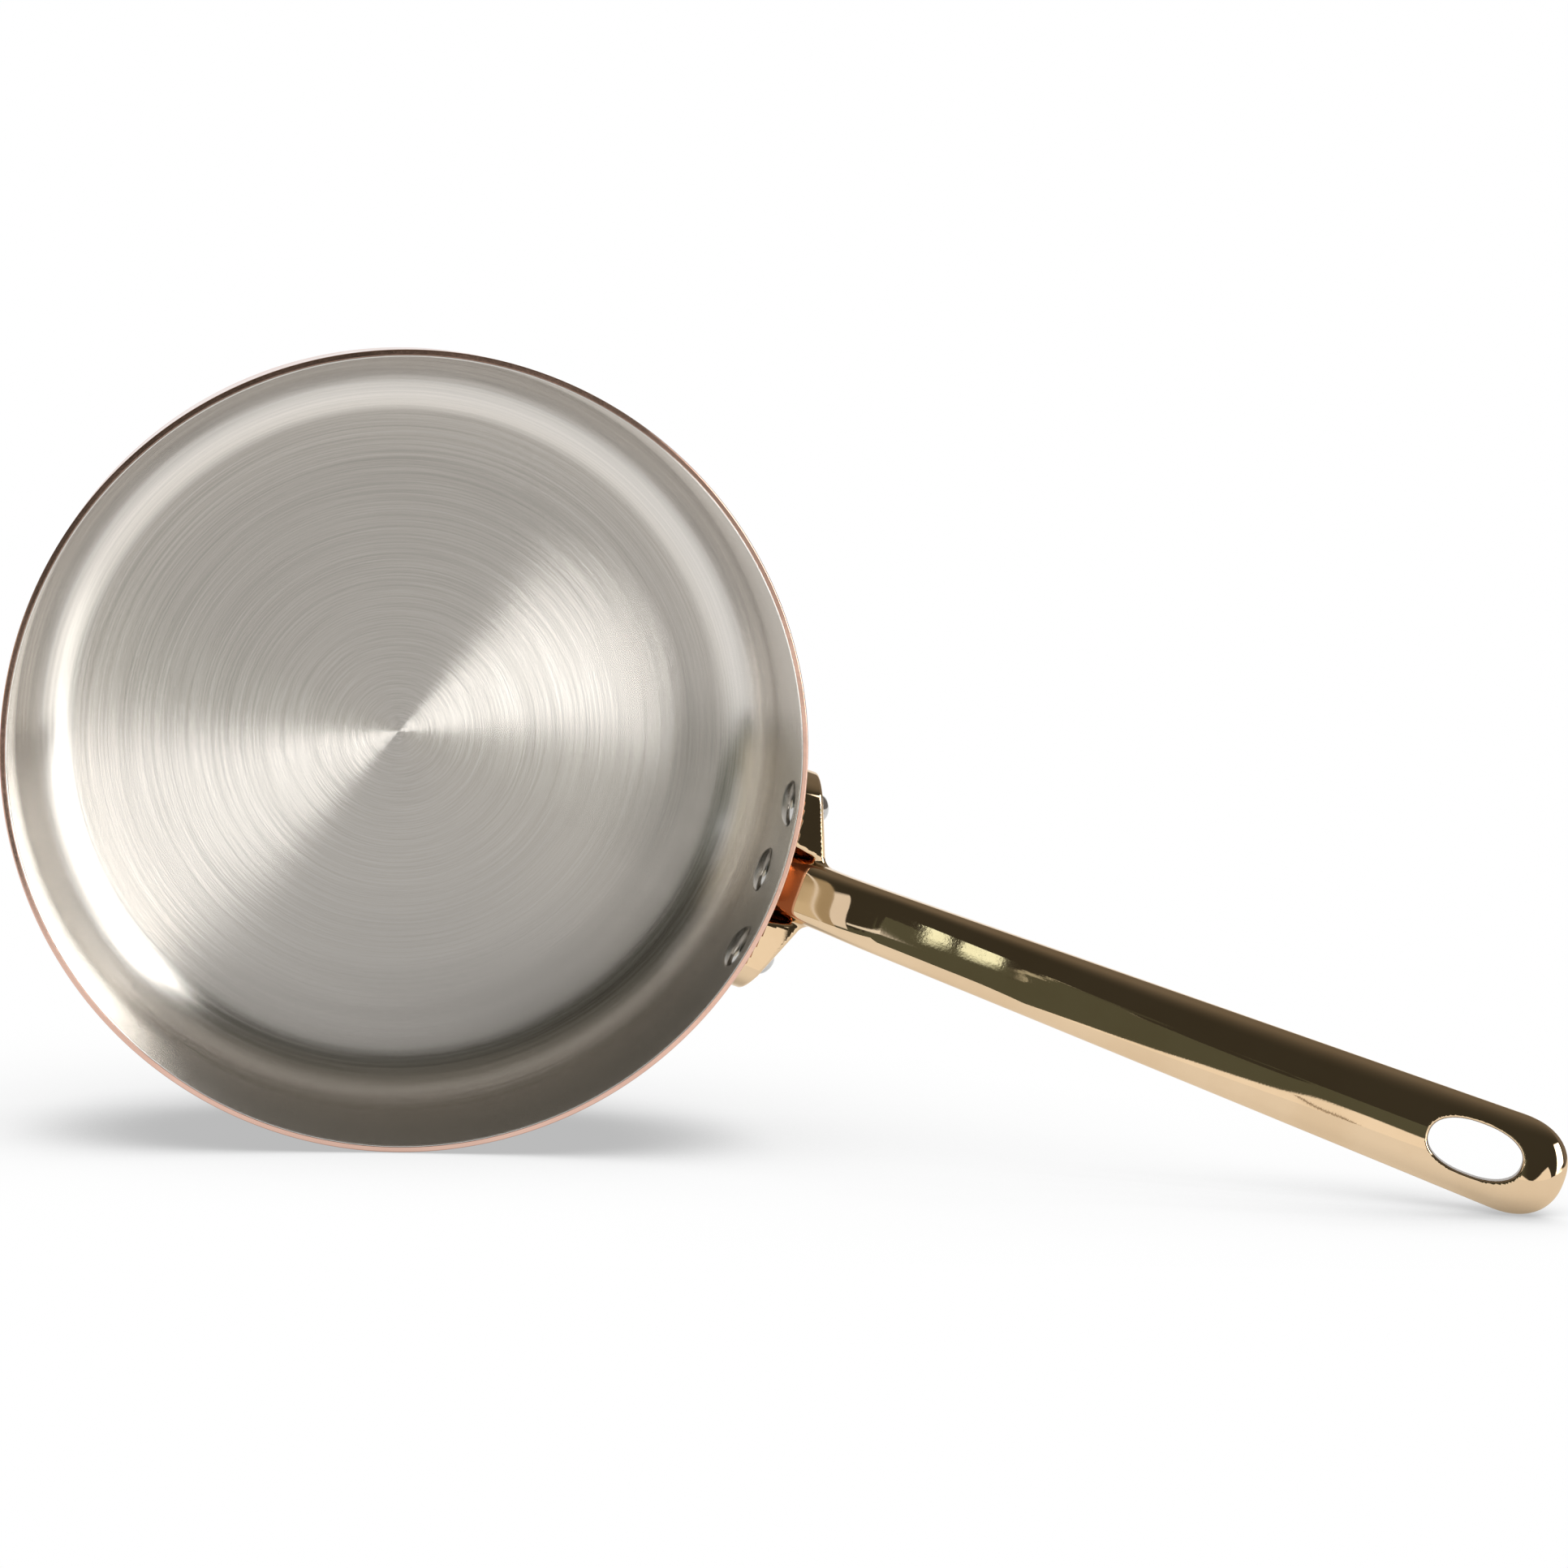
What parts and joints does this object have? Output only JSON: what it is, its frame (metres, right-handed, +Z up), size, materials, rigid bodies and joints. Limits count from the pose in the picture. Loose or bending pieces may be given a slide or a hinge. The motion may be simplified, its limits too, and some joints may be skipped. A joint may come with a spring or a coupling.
{
  "type": "saute pan",
  "caption": "Round straight-sided copper saute pan with a brushed steel lining and a riveted cast bronze handle with a hanging hole.",
  "frame": {"origin": "centre of the underside of the base, on the pan's axis", "axes": "+Z up out of the open top, +X out along the handle, +Y to the right of someone holding the handle"},
  "size_m": [0.4747, 0.24, 0.144],
  "materials": {
    "copper": "polished copper",
    "lining": "circular brushed stainless steel",
    "bronze": "mirror polished cast bronze",
    "rivet_steel": "polished stainless steel"
  },
  "bodies": {
    "root": {"copper_shell": "copper", "steel_lining": "lining", "handle": "bronze", "rivet_right": "rivet_steel", "rivet_left": "rivet_steel", "rivet_centre": "rivet_steel"}
  },
  "joints": []
}
